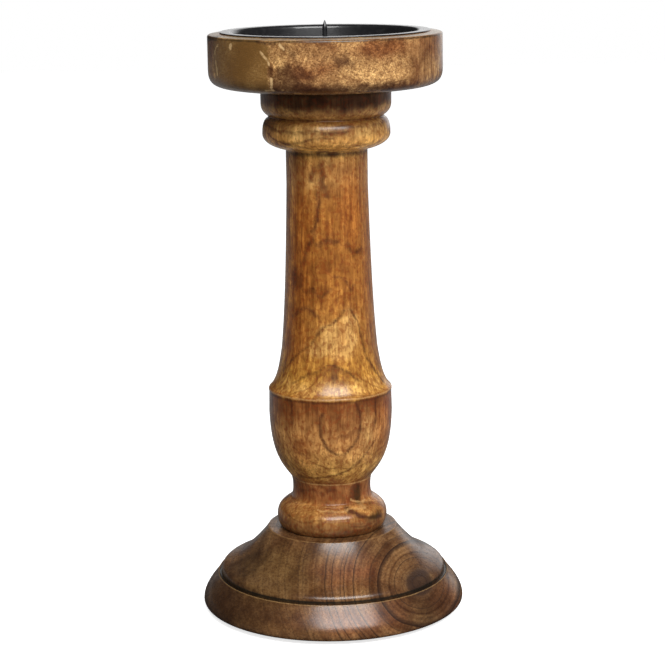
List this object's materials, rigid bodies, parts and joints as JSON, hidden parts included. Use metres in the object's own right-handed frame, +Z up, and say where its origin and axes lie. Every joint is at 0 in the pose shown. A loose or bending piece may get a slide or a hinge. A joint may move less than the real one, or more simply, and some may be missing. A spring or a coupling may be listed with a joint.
{
  "type": "pillar candlestick",
  "caption": "Turned wooden pillar candlestick: round stepped foot, baluster column and shallow dish with a lift-out black steel drip pan and pricket.",
  "frame": {"origin": "on the turning axis, in the plane of the felt pads' undersides", "axes": "+Z up along the turning axis from foot to dish; the part is turned, so X and Y are free, and the grain figure faces -Y"},
  "size_m": [0.116, 0.116, 0.2591],
  "materials": {
    "foot_wood": "dark walnut-brown, satin varnish",
    "column_wood": "amber brown, satin varnish",
    "dish_wood": "light brown, satin varnish",
    "black_enamel": "semi-gloss black paint",
    "zinc_steel": "bright zinc plate",
    "felt": "black wool felt"
  },
  "bodies": {
    "stand": {"foot": "foot_wood", "column": "column_wood", "dish": "dish_wood", "dish_screw": "zinc_steel", "foot_screw": "zinc_steel", "foot_washer": "zinc_steel", "felt_pad_1": "felt", "felt_pad_2": "felt", "felt_pad_3": "felt", "felt_pad_4": "felt"},
    "drip_tray": {"drip_pan": "black_enamel", "pricket": "black_enamel"}
  },
  "joints": [
    {"name": "drip_tray_lift", "type": "slide", "parent": "stand", "child": "drip_tray", "axis": [0, 0, 1], "range_m": [0, 0.03]}
  ]
}
